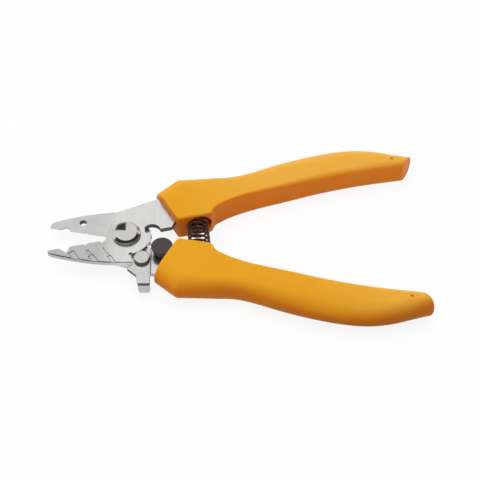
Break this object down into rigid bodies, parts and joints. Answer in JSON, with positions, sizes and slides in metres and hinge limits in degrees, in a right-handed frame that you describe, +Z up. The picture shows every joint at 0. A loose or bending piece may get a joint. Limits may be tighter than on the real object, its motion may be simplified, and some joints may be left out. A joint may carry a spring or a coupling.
{
  "type": "cable stripping tool",
  "caption": "Spring-opened wire stripping pliers with two crossing notched steel blades, moulded plastic grips, a closing stop and a pivoting thumb latch.",
  "frame": {"origin": "on the pivot axis, at the height of the surface that the tool lies on", "axes": "+X from the pivot towards the grips along the tool's middle line, +Y across the tool towards the upper grip, +Z up along the pivot axis, away from the surface it lies on"},
  "size_m": [0.1551, 0.09, 0.0127],
  "materials": {
    "blade_steel": "fine ground",
    "grip_plastic": "satin",
    "spring_steel": "oil blacked",
    "polished_steel": "turned, polished",
    "plated_steel": "plated",
    "pressed_steel": "pressed",
    "stop_plastic": "satin"
  },
  "bodies": {
    "lower_half": {"rear_blade": "blade_steel", "lower_grip": "grip_plastic", "return_spring": "spring_steel", "pivot_bolt": "polished_steel", "pivot_cone_washer": "polished_steel", "pivot_lock_washer": "plated_steel", "pivot_nut": "plated_steel", "latch_washer": "plated_steel", "latch_rivet": "polished_steel", "latch_rivet_collar": "plated_steel", "closing_stop": "stop_plastic", "stop_screw": "plated_steel", "stop_screw_washer": "plated_steel"},
    "upper_half": {"front_blade": "blade_steel", "upper_grip": "grip_plastic"},
    "latch": {"latch_lever": "pressed_steel"}
  },
  "joints": [
    {"name": "jaw_hinge", "type": "hinge", "parent": "lower_half", "child": "upper_half", "pos_m": [0, 0, 0.00637], "axis": [0, 0, -1], "range_deg": [0, 24], "stiffness_Nm_per_rad": 1, "springref_deg": -9.74, "deforming": ["return_spring"]},
    {"name": "latch_hinge", "type": "hinge", "parent": "lower_half", "child": "latch", "pos_m": [0.0068, -0.01252, 0.00637], "axis": [0, 0, 1], "range_deg": [-3, 6]}
  ]
}
